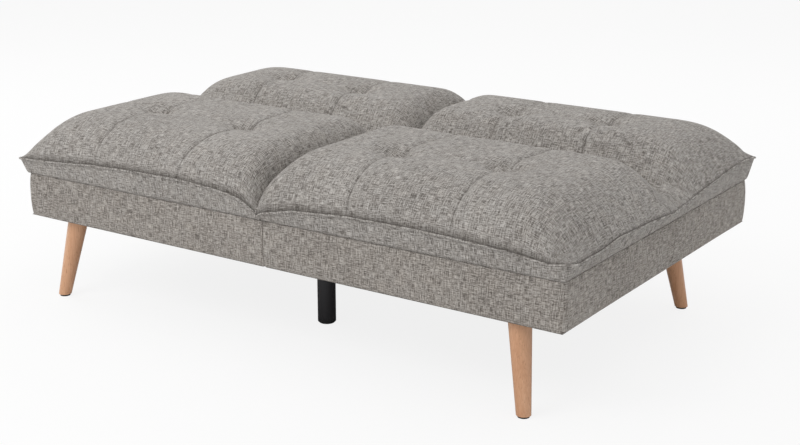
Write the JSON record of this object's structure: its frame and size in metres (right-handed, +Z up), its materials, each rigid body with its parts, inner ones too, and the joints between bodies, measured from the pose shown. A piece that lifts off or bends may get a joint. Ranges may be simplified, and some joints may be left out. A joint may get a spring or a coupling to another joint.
{
  "type": "click clack sofa bed",
  "caption": "Armless sofa bed laid flat, with a tufted seat, a split folding back on click clack hinges, splayed wooden legs and a middle support leg.",
  "frame": {"origin": "on the floor, under the middle of the whole sofa bed laid flat", "axes": "+X along the sofa's length, -Y towards the seat's front edge, +Z up"},
  "size_m": [1.68, 1.066, 0.5094],
  "materials": {
    "beech": "clear lacquered pale beech",
    "black_plastic": "matt black plastic",
    "black_steel": "black powder coat",
    "black_tube": "satin black powder coat",
    "dust_cloth": "thin black non-woven cloth",
    "foam": "open cell cushion foam",
    "linen_fabric": "grey taupe linen look weave",
    "softwood_board": "planed softwood",
    "spring_wire": "oiled spring wire",
    "zinc_steel": "bright zinc plate"
  },
  "bodies": {
    "seat": {"center_support_foot": "black_plastic", "center_support_leg": "black_tube", "center_support_plug": "black_plastic", "chassis_frame": "black_steel", "front_left_leg": "beech", "front_right_leg": "beech", "hanger_bolts": "zinc_steel", "hinge_pins": "zinc_steel", "left_inner_seat_plate": "zinc_steel", "left_outer_seat_plate": "zinc_steel", "leg_glides": "black_plastic", "leg_plates": "black_steel", "rear_left_leg": "beech", "rear_right_leg": "beech", "right_inner_seat_plate": "zinc_steel", "right_outer_seat_plate": "zinc_steel", "seat_border_left": "linen_fabric", "seat_border_right": "linen_fabric", "seat_center_brace": "softwood_board", "seat_cushion_left": "linen_fabric", "seat_cushion_right": "linen_fabric", "seat_dust_cover": "dust_cloth", "seat_end_rail_left": "softwood_board", "seat_end_rail_right": "softwood_board", "seat_foam_left": "foam", "seat_foam_right": "foam", "seat_front_rail": "softwood_board", "seat_hinge_bolts": "zinc_steel", "seat_rear_rail": "softwood_board", "seat_spring_clips": "zinc_steel", "seat_springs": "spring_wire"},
    "back_left": {"back_left_border": "linen_fabric", "back_left_cushion": "linen_fabric", "back_left_dust_cover": "dust_cloth", "back_left_foam": "foam", "back_left_frame": "softwood_board", "back_left_hinge_bolts": "zinc_steel", "back_left_spring_clips": "zinc_steel", "back_left_springs": "spring_wire", "left_inner_back_plate": "zinc_steel", "left_outer_back_plate": "zinc_steel"},
    "back_right": {"back_right_border": "linen_fabric", "back_right_cushion": "linen_fabric", "back_right_dust_cover": "dust_cloth", "back_right_foam": "foam", "back_right_frame": "softwood_board", "back_right_hinge_bolts": "zinc_steel", "back_right_spring_clips": "zinc_steel", "back_right_springs": "spring_wire", "right_inner_back_plate": "zinc_steel", "right_outer_back_plate": "zinc_steel"},
    "left_inner_pawl_lever": {"left_inner_pawl": "zinc_steel"},
    "left_outer_pawl_lever": {"left_outer_pawl": "zinc_steel"},
    "right_inner_pawl_lever": {"right_inner_pawl": "zinc_steel"},
    "right_outer_pawl_lever": {"right_outer_pawl": "zinc_steel"}
  },
  "joints": [
    {"name": "back_left_fold", "type": "hinge", "parent": "seat", "child": "back_left", "pos_m": [0, 0.062, 0.378], "axis": [1, 0, 0], "range_deg": [0, 80]},
    {"name": "back_right_fold", "type": "hinge", "parent": "seat", "child": "back_right", "pos_m": [0, 0.062, 0.378], "axis": [1, 0, 0], "range_deg": [0, 80]},
    {"name": "left_inner_pawl_lift", "type": "hinge", "parent": "seat", "child": "left_inner_pawl_lever", "pos_m": [0, 0.004, 0.352], "axis": [1, 0, 0], "range_deg": [-10, 0], "stiffness_Nm_per_rad": 1.5, "springref_deg": 11.46},
    {"name": "left_outer_pawl_lift", "type": "hinge", "parent": "seat", "child": "left_outer_pawl_lever", "pos_m": [0, 0.004, 0.352], "axis": [1, 0, 0], "range_deg": [-10, 0], "stiffness_Nm_per_rad": 1.5, "springref_deg": 11.46},
    {"name": "right_inner_pawl_lift", "type": "hinge", "parent": "seat", "child": "right_inner_pawl_lever", "pos_m": [0, 0.004, 0.352], "axis": [1, 0, 0], "range_deg": [-10, 0], "stiffness_Nm_per_rad": 1.5, "springref_deg": 11.46},
    {"name": "right_outer_pawl_lift", "type": "hinge", "parent": "seat", "child": "right_outer_pawl_lever", "pos_m": [0, 0.004, 0.352], "axis": [1, 0, 0], "range_deg": [-10, 0], "stiffness_Nm_per_rad": 1.5, "springref_deg": 11.46}
  ]
}
